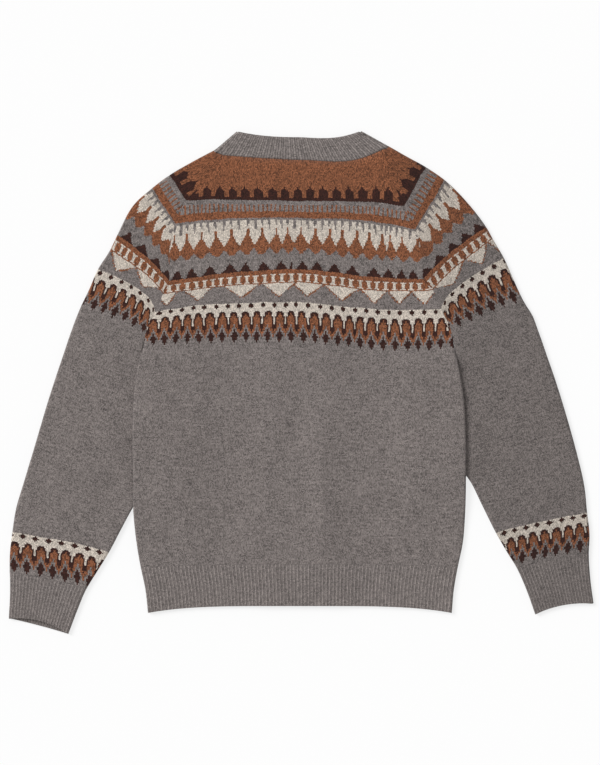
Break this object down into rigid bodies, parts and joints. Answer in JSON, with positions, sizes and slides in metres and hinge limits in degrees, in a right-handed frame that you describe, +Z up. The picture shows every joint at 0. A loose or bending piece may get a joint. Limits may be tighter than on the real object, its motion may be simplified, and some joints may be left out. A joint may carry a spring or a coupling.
{
  "type": "fair isle cardigan",
  "caption": "Raglan-sleeved knitted wool cardigan with a fair isle yoke and cuff bands, buttoned and laid flat on its front with its back showing.",
  "frame": {"origin": "centre of the laid garment on the surface that it lies on", "axes": "+Z up from the surface, +Y towards the neck, +X to the right of the back as it shows"},
  "size_m": [0.8782, 0.7552, 0.0125],
  "materials": {
    "fair_isle_jersey": "matt wool stockinette in grey heather, with stranded bands in rust, dark brown and cream",
    "grey_rib": "matt wool 1x1 rib in grey heather",
    "button": "brown horn-like resin, polished to a low gloss"
  },
  "bodies": {
    "root": {"back": "fair_isle_jersey", "front_left": "fair_isle_jersey", "front_right": "fair_isle_jersey", "sleeve_left": "fair_isle_jersey", "sleeve_right": "fair_isle_jersey", "hem_back": "grey_rib", "hem_front_left": "grey_rib", "hem_front_right": "grey_rib", "cuff_left": "grey_rib", "cuff_right": "grey_rib", "neckband": "grey_rib", "buttonhole_band": "grey_rib", "button_band": "grey_rib", "button_1": "button", "button_2": "button", "button_3": "button", "button_4": "button", "button_5": "button", "button_6": "button", "button_7": "button", "button_8": "button"}
  },
  "joints": []
}
